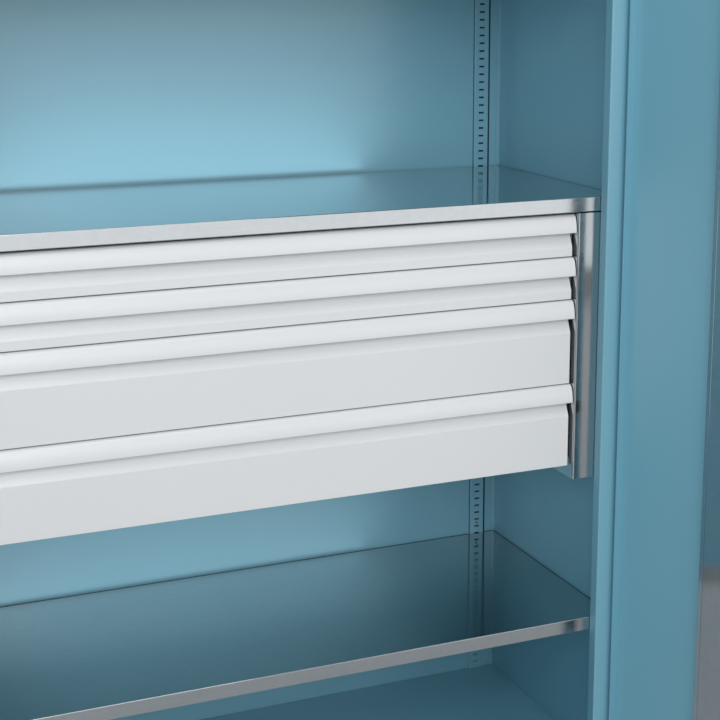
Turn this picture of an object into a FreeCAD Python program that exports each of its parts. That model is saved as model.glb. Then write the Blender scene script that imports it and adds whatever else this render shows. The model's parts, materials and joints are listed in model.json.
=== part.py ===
import FreeCAD, Part
import Sketcher
import math
import os

# Tall two-door cabinet with three shelves and a block of four drawers.
# Millimetres, +Z up, the front faces -Y. The origin is the centre of the
# 1200 x 500 body's footprint, at floor level. The doors stand open at rest.

doc = FreeCAD.newDocument("drawer_cabinet")
V = FreeCAD.Vector

# ---------------------------------------------------------------- sizes

sheet = doc.addObject("Spreadsheet::Sheet", "Sizes")
sheet.Label = "Sizes"


class Size:
    """A number together with the sheet formula it comes from."""

    def __init__(self, value, text=None):
        self.v = float(value)
        self.e = text if text is not None else "%.10g" % self.v

    def _join(self, other, op, value):
        return Size(value, "(%s %s %s)" % (self.e, op, other.e))

    def __add__(self, other):
        other = size(other)
        return self._join(other, "+", self.v + other.v)

    def __sub__(self, other):
        other = size(other)
        return self._join(other, "-", self.v - other.v)

    def __mul__(self, other):
        other = size(other)
        return self._join(other, "*", self.v * other.v)

    def __truediv__(self, other):
        other = size(other)
        return self._join(other, "/", self.v / other.v)

    def __radd__(self, other):
        return size(other) + self

    def __rsub__(self, other):
        return size(other) - self

    def __rmul__(self, other):
        return size(other) * self

    def __neg__(self):
        return Size(-self.v, "(0 - %s)" % self.e)


def size(x):
    return x if isinstance(x, Size) else Size(x)


_row = [0]


def dim(alias, value, note):
    _row[0] += 1
    r = _row[0]
    sheet.set("A%d" % r, alias)
    sheet.set("B%d" % r, "%.10g" % value)
    sheet.setAlias("B%d" % r, alias)
    sheet.set("C%d" % r, note)
    return Size(value, "Sizes." + alias)


width = dim("body_width", 1200, "outer width of the body")
depth = dim("body_depth", 500, "depth of the body without the doors")
height = dim("body_height", 1950, "overall height")
tb = dim("body_sheet", 1.5, "sheet of body and doors")
plinth_h = dim("plinth_height", 55, "height of the plinth")
roof_h = dim("canopy_height", 42, "height of the roof cap")
front_over = dim("front_overhang", 22, "canopy and plinth stand this far before the stiles")
stile_w = dim("stile_width", 46, "front face of a stile")
jamb_d = dim("jamb_depth", 22, "depth of a stile")
rear_in = dim("rear_recess", 9, "rear wall ahead of the body's back edge")
floor_z = dim("floor_top", 100, "top of the floor panel")
slot_pitch = dim("slot_pitch", 15, "pitch of the shelf slots")
slot_w = dim("slot_width", 11, "width of a shelf slot")
slot_h = dim("slot_height", 3.5, "height of a shelf slot")
strip_x = dim("rear_strip_offset", 557.5, "centre of a rear slot strip from the middle")
strip_w = dim("strip_width", 30, "width of a slot strip")
strip_p = dim("strip_proud", 4, "rear strip stands out of the rear wall")
fslot_x = dim("front_slot_offset", 583, "centre of the front slots from the middle")
ts = dim("shelf_sheet", 1.25, "sheet of the shelves")
shelf_w = dim("shelf_width", 1191.6, "width of a shelf")
lip_h = dim("shelf_lip", 25, "height of a shelf's edge")
lip_y = dim("lip_plane", 227.7, "front plane of shelves and drawer block before the middle")
shelf_back = dim("shelf_back", 236.5, "rear edge of a shelf behind the middle")
shelf_1 = dim("shelf_lower_top", 400, "top of the lower shelf")
shelf_2 = dim("shelf_middle_top", 1165, "top of the shelf over the drawers")
shelf_3 = dim("shelf_upper_top", 1570, "top of the upper shelf")
block_x = dim("block_half_opening", 511.5, "drawer opening, from the middle to a side frame")
block_lo = dim("block_bottom", 665, "lower edge of the drawer block")
block_hi = dim("block_top", 1138, "upper edge of the drawer block")
roll_r = dim("roll_radius", 3, "radius of the rolled front edge of a side frame")
front_hw = dim("front_half_width", 506.9, "half the width of a drawer front")
nose_hw = dim("nose_half_width", 509.9, "half the width of a handle nose")
nose_h = dim("nose_height", 31.5, "height of the handle nose")
bevel_h = dim("bevel_height", 26, "height of the bevel below the nose")
groove_y = dim("groove_plane", 206, "sheet behind the nose, before the middle")
flat_y = dim("flat_plane", 217, "lower face of a front, before the middle")
nose_y = dim("nose_plane", 225.7, "foremost line of the nose, before the middle")
tf = dim("front_sheet", 1.2, "sheet of a drawer front")
nose_t = dim("nose_wall", 1.8, "wall of the handle nose")
tray_hw = dim("tray_half_width", 498.8, "half the width of a drawer tray")
tray_back = dim("tray_back", 215, "rear of a tray behind the middle")
tt = dim("tray_sheet", 1.0, "sheet of a tray")
rail_len = dim("rail_length", 425, "length of a drawer rail")
rail_h = dim("rail_height", 36, "height of an outer rail")
door_w = dim("door_width", 596, "width of a door")
door_lo = dim("door_bottom", 58, "lower edge of the doors")
door_hi = dim("door_top", 1905, "upper edge of the doors")
door_t = dim("door_depth", 20, "depth of the door pan")
door_gap = dim("door_gap", 2, "gap between a door and the stiles")
rim = dim("door_rim", 13, "width of the door's folded rim")
hinge_x = dim("hinge_offset", 592, "hinge axis from the middle")
hinge_y = dim("hinge_forward", 262, "hinge axis before the middle")
pin_r = dim("hinge_pin_radius", 3, "radius of a hinge pin")
bush_r = dim("hinge_bore_radius", 3.05, "radius of the bore in a hinge bush")
rest_angle = dim("door_rest_angle", 115, "opening of both doors at rest, degrees")
handle_x = dim("handle_offset", 45, "spindle axis from the middle, door closed")
handle_z = dim("handle_height", 1020, "height of the spindle axis")
gear_r = dim("pinion_radius", 12, "pitch radius of the lock's pinion")
cyl_z = dim("cylinder_height", 1080, "height of the lock cylinder")
doc.recompute()

half = width / 2
front = -(depth / 2)
back = depth / 2
side_in = half - tb
wall_y = back - rear_in
top_z = height - roof_h
fascia = front - front_over
jamb_x = half - stile_w
jamb_y = front + jamb_d
lip = -lip_y

# ---------------------------------------------------------------- helpers


class Arc:
    """Marks the stretch between two corners of a loop as an arc. side is +1
    when its centre lies left of the way from its start to its end."""

    def __init__(self, radius, side):
        self.r = size(radius)
        self.side = side


def new_body(label):
    b = doc.addObject("PartDesign::Body", label)
    b.Label = label
    return b


def make_sketch(body, plane, at, loops):
    sk = body.newObject("Sketcher::SketchObject", body.Name + "_sketch")
    role = plane + "_Plane"
    face = [f for f in body.Origin.OriginFeatures if f.Role == role][0]
    sk.AttachmentSupport = [(face, "")]
    sk.MapMode = "FlatFace"
    off = -size(at) if plane == "XZ" else size(at)
    sk.AttachmentOffset = FreeCAD.Placement(V(0, 0, off.v), FreeCAD.Rotation())
    sk.setExpression("AttachmentOffset.Base.z", off.e)
    bound = []
    for loop in loops:
        if isinstance(loop, dict):  # a circle
            cu, cv, r = size(loop["u"]), size(loop["v"]), size(loop["r"])
            g = sk.addGeometry(Part.Circle(V(cu.v, cv.v, 0), V(0, 0, 1), r.v), False)
            bound.append((sk.addConstraint(Sketcher.Constraint("DistanceX", -1, 1, g, 3, cu.v)), cu))
            bound.append((sk.addConstraint(Sketcher.Constraint("DistanceY", -1, 1, g, 3, cv.v)), cv))
            bound.append((sk.addConstraint(Sketcher.Constraint("Radius", g, r.v)), r))
            continue
        points, kinds = [], []
        for item in loop:
            if isinstance(item, Arc):
                kinds[-1] = item
            else:
                points.append((size(item[0]), size(item[1])))
                kinds.append(None)
        n = len(points)
        ends = []
        for i in range(n):
            a, b = points[i], points[(i + 1) % n]
            if kinds[i] is None:
                g = sk.addGeometry(Part.LineSegment(V(a[0].v, a[1].v, 0), V(b[0].v, b[1].v, 0)), False)
                ends.append((g, 1, 2))
                continue
            r, s = kinds[i].r, kinds[i].side
            dx, dy = b[0].v - a[0].v, b[1].v - a[1].v
            d = math.hypot(dx, dy)
            h = math.sqrt(max(r.v * r.v - d * d / 4, 0.0))
            cx = (a[0].v + b[0].v) / 2 - s * dy / d * h
            cy = (a[1].v + b[1].v) / 2 + s * dx / d * h
            aa = math.atan2(a[1].v - cy, a[0].v - cx)
            ab = math.atan2(b[1].v - cy, b[0].v - cx)
            circle = Part.Circle(V(cx, cy, 0), V(0, 0, 1), r.v)
            if s > 0:
                g = sk.addGeometry(Part.ArcOfCircle(circle, aa, ab if ab > aa else ab + 2 * math.pi), False)
                ends.append((g, 1, 2))
            else:
                g = sk.addGeometry(Part.ArcOfCircle(circle, ab, aa if aa > ab else aa + 2 * math.pi), False)
                ends.append((g, 2, 1))
            bound.append((sk.addConstraint(Sketcher.Constraint("Radius", g, r.v)), r))
        for i in range(n):
            g, p0, p1 = ends[i]
            h2, q0, _ = ends[(i + 1) % n]
            sk.addConstraint(Sketcher.Constraint("Coincident", g, p1, h2, q0))
            u, v = points[i]
            bound.append((sk.addConstraint(Sketcher.Constraint("DistanceX", -1, 1, g, p0, u.v)), u))
            bound.append((sk.addConstraint(Sketcher.Constraint("DistanceY", -1, 1, g, p0, v.v)), v))
    for index, value in bound:
        if "Sizes." in value.e:
            sk.setExpression("Constraints[%d]" % index, value.e)
    return sk


def order(lo, hi):
    lo, hi = size(lo), size(hi)
    return (lo, hi) if lo.v <= hi.v else (hi, lo)


def pad(body, plane, loops, lo, hi):
    lo, hi = order(lo, hi)
    sk = make_sketch(body, plane, hi if plane == "XZ" else lo, loops)
    f = body.newObject("PartDesign::Pad", body.Name + "_pad")
    f.Profile = sk
    f.Length = hi.v - lo.v
    f.setExpression("Length", (hi - lo).e)
    body.Tip = f
    return f


def pocket(body, plane, loops, lo, hi):
    """Cuts the loops between lo and hi along the plane's normal axis."""
    doc.recompute()
    before = body.Shape.Volume
    lo, hi = order(lo, hi)
    sk = make_sketch(body, plane, lo if plane == "XZ" else hi, loops)
    f = body.newObject("PartDesign::Pocket", body.Name + "_pocket")
    f.Profile = sk
    f.Length = hi.v - lo.v
    f.setExpression("Length", (hi - lo).e)
    body.Tip = f
    doc.recompute()
    if not body.Shape.Volume < before - 1e-3:
        raise SystemExit("a pocket in %s cuts nothing" % body.Label)
    return f


def rect(u0, v0, u1, v1):
    return [(u0, v0), (u1, v0), (u1, v1), (u0, v1)]


def circle(u, v, r):
    return {"u": u, "v": v, "r": r}


def edges_along(body, axis, spots, tol=0.02):
    """Straight edges parallel to axis through the given places, each given by
    its other two coordinates in X, Y, Z order, None matching anything."""
    doc.recompute()
    k = "xyz".index(axis)
    others = [i for i in range(3) if i != k]
    names = []
    for n, e in enumerate(body.Tip.Shape.Edges, 1):
        if e.Curve.TypeId != "Part::GeomLine":
            continue
        d = e.tangentAt(e.FirstParameter)
        if abs(abs(d[k]) - 1) > 1e-6:
            continue
        m = e.CenterOfMass
        for spot in spots:
            if all(s is None or abs(m[o] - size(s).v) < tol for s, o in zip(spot, others)):
                names.append("Edge%d" % n)
                break
    return names


def round_edges(body, picks, radius):
    """picks is a list of (axis, spots)."""
    names = []
    for axis, spots in picks:
        names += [n for n in edges_along(body, axis, spots) if n not in names]
    if not names:
        raise SystemExit("no edges to round in %s" % body.Label)
    r = size(radius)
    base = body.Tip
    f = body.newObject("PartDesign::Fillet", body.Name + "_bend")
    f.Base = (base, names)
    f.Radius = r.v
    if "Sizes." in r.e:
        f.setExpression("Radius", r.e)
    body.Tip = f
    doc.recompute()
    if "Invalid" in f.State or f.Shape.isNull() or not f.Shape.isValid():
        raise SystemExit("rounding failed in %s" % body.Label)
    return f


def row_of(body, feature, direction, count, length):
    p = body.newObject("PartDesign::LinearPattern", body.Name + "_row")
    p.Originals = [feature]
    p.Direction = (feature.Profile[0], [direction])
    p.Occurrences = count
    length = size(length)
    p.Length = length.v
    p.setExpression("Length", length.e)
    body.Tip = p
    return p


made = []  # the exported sub-parts


def keep(obj, label=None):
    if label:
        obj.Label = label
    made.append(obj)
    return obj


def mirror_of(obj):
    m = doc.addObject("Part::Mirroring", obj.Name + "_mirrored")
    m.Source = obj
    m.Normal = (1, 0, 0)
    m.Base = (0, 0, 0)
    return m


def group(label, parts):
    c = doc.addObject("Part::Compound", label)
    c.Links = parts
    c.Label = label
    return c


def box(label, x0, x1, y0, y1, z0, z1):
    b = doc.addObject("Part::Box", label)
    (x0, x1), (y0, y1), (z0, z1) = order(x0, x1), order(y0, y1), order(z0, z1)
    for prop, value in (("Length", x1 - x0), ("Width", y1 - y0), ("Height", z1 - z0)):
        setattr(b, prop, value.v)
        b.setExpression(prop, value.e)
    b.Placement = FreeCAD.Placement(V(x0.v, y0.v, z0.v), FreeCAD.Rotation())
    for k, value in (("x", x0), ("y", y0), ("z", z0)):
        b.setExpression("Placement.Base." + k, value.e)
    return b


def rod(label, axis, x, y, z, r, length):
    """A cylinder from (x, y, z) along +axis."""
    c = doc.addObject("Part::Cylinder", label)
    r, length = size(r), size(length)
    x, y, z = size(x), size(y), size(z)
    c.Radius = r.v
    c.setExpression("Radius", r.e)
    c.Height = length.v
    c.setExpression("Height", length.e)
    turn = {
        "x": FreeCAD.Rotation(V(0, 1, 0), 90),
        "y": FreeCAD.Rotation(V(1, 0, 0), -90),
        "z": FreeCAD.Rotation(),
    }[axis]
    c.Placement = FreeCAD.Placement(V(x.v, y.v, z.v), turn)
    for k, value in (("x", x), ("y", y), ("z", z)):
        c.setExpression("Placement.Base." + k, value.e)
    return c


def fuse(label, parts):
    f = doc.addObject("Part::MultiFuse", label)
    f.Shapes = parts
    f.Label = label
    return f


def cut(label, base, tool):
    f = doc.addObject("Part::Cut", label)
    f.Base = base
    f.Tool = tool
    f.Label = label
    return f


def open_door(obj, s):
    """Turns a piece of the right (s = 1) or left (s = -1) door from the closed
    place it was drawn in to the open rest place."""
    a = rest_angle * s
    hx, hy = hinge_x * s, -hinge_y
    turn = "(%s) * 1 deg" % a.e
    rad = math.radians(a.v)
    bx = hx.v - (math.cos(rad) * hx.v - math.sin(rad) * hy.v)
    by = hy.v - (math.sin(rad) * hx.v + math.cos(rad) * hy.v)
    obj.Placement = FreeCAD.Placement(V(bx, by, 0), FreeCAD.Rotation(V(0, 0, 1), a.v))
    obj.setExpression("Placement.Rotation.Angle", turn)
    obj.setExpression(
        "Placement.Base.x",
        "{x} - (cos({t}) * {x} - sin({t}) * {y})".format(x=hx.e, y=hy.e, t=turn),
    )
    obj.setExpression(
        "Placement.Base.y",
        "{y} - (sin({t}) * {x} + cos({t}) * {y})".format(x=hx.e, y=hy.e, t=turn),
    )
    return obj


# ---------------------------------------------------------------- body

# A side panel is one sheet: the wall, the stile's front face, the jamb, a
# short return behind the stile and a narrow flange in front of the rear wall.
return_x = jamb_x + 17.5
rear_flange_x = side_in - 7


def side_panel(label, s):
    b = new_body(label)
    o, i = half * s, side_in * s
    pad(
        b,
        "XY",
        [[
            (return_x * s, jamb_y),
            (jamb_x * s, jamb_y),
            (jamb_x * s, front),
            (o, front),
            (o, wall_y),
            (rear_flange_x * s, wall_y),
            (rear_flange_x * s, wall_y - tb),
            (i, wall_y - tb),
            (i, front + tb),
            ((jamb_x + tb) * s, front + tb),
            ((jamb_x + tb) * s, jamb_y - tb),
            (return_x * s, jamb_y - tb),
        ]],
        plinth_h,
        top_z,
    )
    round_edges(b, [("z", [(jamb_x * s, jamb_y), (jamb_x * s, front), (o, front), (o, wall_y)])], 2.5)
    round_edges(
        b,
        [("z", [((jamb_x + tb) * s, jamb_y - tb), ((jamb_x + tb) * s, front + tb), (i, front + tb), (i, wall_y - tb)])],
        1.0,
    )
    # flanges that carry the panel on the plinth and the roof on the panel
    pad(b, "XY", [rect((side_in - 20) * s, jamb_y + 4, (side_in + 0.5) * s, wall_y - 6)], plinth_h, plinth_h + tb)
    pad(b, "XY", [rect((side_in - 20) * s, jamb_y + 4, (side_in + 0.5) * s, wall_y - 6)], top_z - tb, top_z)
    return keep(b)


side_panel("side_panel_right", 1)
side_panel("side_panel_left", -1)

# rear wall: a shallow pan whose edges are folded back
b = new_body("rear_panel")
pad(b, "XZ", [rect(-half, plinth_h, half, top_z)], wall_y, back)
pocket(b, "XZ", [rect(-half + tb, plinth_h + tb, half - tb, top_z - tb)], wall_y + tb, back)
round_edges(b, [("z", [(-half, wall_y), (half, wall_y)])], 2.0)
keep(b)

# roof: a cap whose front is folded round into the canopy
b = new_body("roof_panel")
pad(b, "XY", [rect(-half, fascia, half, back)], top_z, height)
pocket(b, "XY", [rect(-half + tb, fascia + tb, half - tb, back - tb)], top_z + tb, height - tb)
pocket(b, "XY", [rect(-half + tb, jamb_y, half - tb, back - tb)], top_z, top_z + tb)
pad(b, "XY", [rect(-half + tb, jamb_y - tb, half - tb, jamb_y)], top_z + tb, top_z + 16)
# keeper hole for the upper lock rod and the two pin holes
upper_rod_x = handle_x - gear_r - 5.5
lower_rod_x = handle_x + gear_r + 5.5
rod_y = -259
pocket(b, "XY", [rect(upper_rod_x - 5.5, rod_y - 4.5, upper_rod_x + 5.5, rod_y + 4.5)], top_z, top_z + tb)
pocket(b, "XY", [circle(hinge_x * s, -hinge_y, pin_r) for s in (1, -1)], top_z, top_z + tb)
round_edges(b, [("z", [(-half, fascia), (half, fascia), (-half, back), (half, back)])], 2.5)
round_edges(b, [("x", [(fascia, height)])], 2.5)
keep(b)

# rail under the canopy, behind the upper door edges
b = new_body("front_top_rail")
rail_z = top_z - 28
pad(
    b,
    "YZ",
    [[
        (front, top_z),
        (front, rail_z),
        (jamb_y, rail_z),
        (jamb_y, top_z),
        (jamb_y - tb, top_z),
        (jamb_y - tb, rail_z + tb),
        (front + tb, rail_z + tb),
        (front + tb, top_z),
    ]],
    -jamb_x,
    jamb_x,
)
round_edges(b, [("x", [(front, rail_z), (jamb_y, rail_z)])], 2.5)
keep(b)

# plinth: a welded ring of C section with corner gussets for the feet
b = new_body("plinth")
pad(b, "XY", [rect(-half, fascia, half, back)], 0, plinth_h)
pocket(b, "XY", [rect(-half + tb, fascia + tb, half - tb, back - tb)], tb, plinth_h - tb)
pocket(b, "XY", [rect(-half + 25, fascia + 25, half - 25, back - 25)], 0, tb)
gx, gy0, gy1, gc = half - 30, jamb_y, back - 30, 90
pocket(
    b,
    "XY",
    [[
        (-gx + gc, gy0),
        (gx - gc, gy0),
        (gx, gy0 + gc),
        (gx, gy1 - gc),
        (gx - gc, gy1),
        (-gx + gc, gy1),
        (-gx, gy1 - gc),
        (-gx, gy0 + gc),
    ]],
    plinth_h - tb,
    plinth_h,
)
pocket(b, "XY", [rect(lower_rod_x - 5.5, rod_y - 4.5, lower_rod_x + 5.5, rod_y + 4.5)], plinth_h - tb, plinth_h)
foot_x = half - 55
foot_ys = (-203, 195)
pocket(
    b,
    "XY",
    [circle(hinge_x * s, -hinge_y, pin_r) for s in (1, -1)]
    + [circle(foot_x * s, y, 5.2) for s in (1, -1) for y in foot_ys],
    plinth_h - tb,
    plinth_h,
)
round_edges(b, [("z", [(-half, fascia), (half, fascia), (-half, back), (half, back)])], 2.5)
keep(b)

# floor: a box pan, its front corners cut out round the stiles
b = new_body("floor_panel")


def floor_outline(inset):
    fx, sx = jamb_x - 0.2 - inset, side_in - 0.3 - inset
    y0, y1, y2 = front + inset, jamb_y + 0.3 + inset, wall_y - tb - 0.3 - inset
    return [(-fx, y0), (fx, y0), (fx, y1), (sx, y1), (sx, y2), (-sx, y2), (-sx, y1), (-fx, y1)]


pad(b, "XY", [floor_outline(size(0))], plinth_h + tb, floor_z)
pocket(b, "XY", [floor_outline(tb)], plinth_h + tb, floor_z - tb)
round_edges(b, [("x", [(front, floor_z)])], 2.5)
keep(b)

# ---------------------------------------------------------------- slot strips

slots = 118

# the front strips close the stiles from behind
b = new_body("front_strip_right")
fs_y0, fs_y1 = jamb_y - tb * 2, jamb_y - tb
pad(b, "XZ", [rect(fslot_x - 15, floor_z, fslot_x + 15, rail_z)], fs_y0, fs_y1)
f = pocket(
    b,
    "XZ",
    [rect(fslot_x - slot_w / 2, floor_z + slot_pitch - slot_h / 2, fslot_x + slot_w / 2, floor_z + slot_pitch + slot_h / 2)],
    fs_y0,
    fs_y1,
)
row_of(b, f, "V_Axis", slots, slot_pitch * (slots - 1))
keep(group("front_slot_strips", [b, mirror_of(b)]))

# the rear strips are shallow channels on the rear wall
b = new_body("rear_strip_right")
ry = wall_y - strip_p
pad(
    b,
    "XY",
    [[
        (strip_x - strip_w / 2, wall_y),
        (strip_x - strip_w / 2, ry),
        (strip_x + strip_w / 2, ry),
        (strip_x + strip_w / 2, wall_y),
        (strip_x + strip_w / 2 - tb, wall_y),
        (strip_x + strip_w / 2 - tb, ry + tb),
        (strip_x - strip_w / 2 + tb, ry + tb),
        (strip_x - strip_w / 2 + tb, wall_y),
    ]],
    floor_z,
    top_z - 20,
)
round_edges(b, [("z", [(strip_x - strip_w / 2, ry), (strip_x + strip_w / 2, ry)])], 1.4)
# fixing holes between the slots
pocket(b, "XZ", [circle(strip_x, floor_z + 322.5 + 360 * k, 2.1) for k in range(5)], ry, ry + tb)
f = pocket(
    b,
    "XZ",
    [rect(strip_x - slot_w / 2, floor_z + slot_pitch - slot_h / 2, strip_x + slot_w / 2, floor_z + slot_pitch + slot_h / 2)],
    ry,
    ry + tb,
)
row_of(b, f, "V_Axis", slots, slot_pitch * (slots - 1))
keep(group("rear_slot_strips", [b, mirror_of(b)]))

# ---------------------------------------------------------------- shelves


def shelf(label, top):
    b = new_body(label)
    x = shelf_w / 2
    pad(b, "XY", [rect(-x, lip, x, shelf_back)], top - lip_h, top)
    pocket(b, "XY", [rect(-x + ts, lip + ts, x - ts, shelf_back - ts)], top - lip_h + ts, top - ts)
    pocket(b, "XY", [rect(-x + 6, lip + 14, x - 6, shelf_back - 7)], top - lip_h, top - lip_h + ts)
    round_edges(b, [("z", [(-x, lip), (x, lip), (-x, shelf_back), (x, shelf_back)])], 1.5)
    round_edges(b, [("x", [(lip, top), (lip, top - lip_h), (shelf_back, top)]), ("y", [(-x, top), (x, top)])], 1.2)
    return keep(b)


shelves = (("shelf_lower", shelf_1), ("shelf_middle", shelf_2), ("shelf_upper", shelf_3))
for name, top in shelves:
    shelf(name, top)

# Four hooked clips carry each shelf. Each hangs in two slots below the edge.
clips = []
for name, top in shelves:
    z1 = top - lip_h
    short = name.split("_")[1]
    # front clip, seen from the right: hooks, leg and ledge
    fc = fuse(
        "clip_front_" + short,
        [
            box("clip_f_leg_" + short, fslot_x - 6, fslot_x + 6, jamb_y - 1.4, jamb_y + 0.1, z1 - 24, z1),
            box("clip_f_ledge_" + short, fslot_x - 6, fslot_x + 6, jamb_y - 1.4, jamb_y + 19, z1 - 1.8, z1),
            box("clip_f_hook_a_" + short, fslot_x - 4, fslot_x + 4, jamb_y - 6, jamb_y - 1.2, z1 - 6.2, z1 - 3.8),
            box("clip_f_hook_b_" + short, fslot_x - 4, fslot_x + 4, jamb_y - 6, jamb_y - 1.2, z1 - 21.2, z1 - 18.8),
        ],
    )
    rc = fuse(
        "clip_rear_" + short,
        [
            box("clip_r_leg_" + short, strip_x - 6, strip_x + 6, ry - 1.7, ry - 0.2, z1 - 24, z1),
            box("clip_r_ledge_" + short, strip_x - 6, strip_x + 6, ry - 22, ry - 0.2, z1 - 1.8, z1),
            box("clip_r_hook_a_" + short, strip_x - 4, strip_x + 4, ry - 0.4, ry + 3.5, z1 - 6.2, z1 - 3.8),
            box("clip_r_hook_b_" + short, strip_x - 4, strip_x + 4, ry - 0.4, ry + 3.5, z1 - 21.2, z1 - 18.8),
        ],
    )
    clips += [fc, mirror_of(fc), rc, mirror_of(rc)]
keep(group("shelf_clips", clips))

# ---------------------------------------------------------------- drawer block

# A side frame is one galvanised sheet: web along the drawers, front flange
# behind the stile, rolled front edge between them, rear flange at the strip.


def block_side(label, s):
    b = new_body(label)
    wx0, wx1 = block_x * s, (block_x + tb) * s
    cx, cy = (block_x + roll_r) * s, lip + roll_r
    rear_y = ry - 0.2
    pad(
        b,
        "XY",
        [[
            (wx0, cy),
            (wx0, rear_y),
            ((block_x + 78) * s, rear_y),
            ((block_x + 78) * s, rear_y - tb),
            (wx1, rear_y - tb),
            (wx1, cy),
        ]],
        block_lo,
        block_hi,
    )
    pad(b, "XY", [circle(cx, cy, roll_r)], block_lo, block_hi)
    pad(b, "XY", [rect(cx, lip, (shelf_w / 2 - 1) * s, lip + tb)], block_lo, block_hi)
    pocket(b, "XY", [circle(cx, cy, roll_r - 1.4)], block_lo, block_hi)
    # the rear flange stops short below the shelf clips
    pocket(
        b,
        "XZ",
        [rect((block_x + 8) * s, block_hi - 26, (block_x + 80) * s, block_hi + 2)],
        rear_y - tb - 0.5,
        rear_y + 0.5,
    )
    # hooks into the slots
    for z in (1120, 910, 685):
        if z != 1120:
            pad(b, "XZ", [rect((strip_x - 4) * s, z - 1.2, (strip_x + 4) * s, z + 1.2)], rear_y - 0.5, ry + 3.5)
    for z in (1090, 910, 685):
        pad(b, "XZ", [rect((fslot_x - 4) * s, z - 1.2, (fslot_x + 4) * s, z + 1.2)], jamb_y - 6, lip + 0.5)
    return keep(b)


block_side("drawer_block_side_right", 1)
block_side("drawer_block_side_left", -1)

# ---------------------------------------------------------------- drawers

# number: (foot of the nose, height of the front)
drawer_rows = (("1", 1104.2, 75), ("2", 1029.2, 75), ("3", 954.2, 150), ("4", 804.2, 150))
rail_y0 = -groove_y + 2
rail_y1 = rail_y0 + rail_len


def channel(label, x_web, x_edge, z, half_h, t, y0, y1):
    """A rail of C section: its web stands at x_web and its flanges end at
    x_edge, towards or away from the drawer."""
    b = new_body(label)
    d = 1 if x_edge.v > x_web.v else -1
    xi = x_web + t * d
    pad(
        b,
        "XZ",
        [[
            (x_web, z - half_h),
            (x_edge, z - half_h),
            (x_edge, z - half_h + t),
            (xi, z - half_h + t),
            (xi, z + half_h - t),
            (x_edge, z + half_h - t),
            (x_edge, z + half_h),
            (x_web, z + half_h),
        ]],
        y0,
        y1,
    )
    return b


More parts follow.
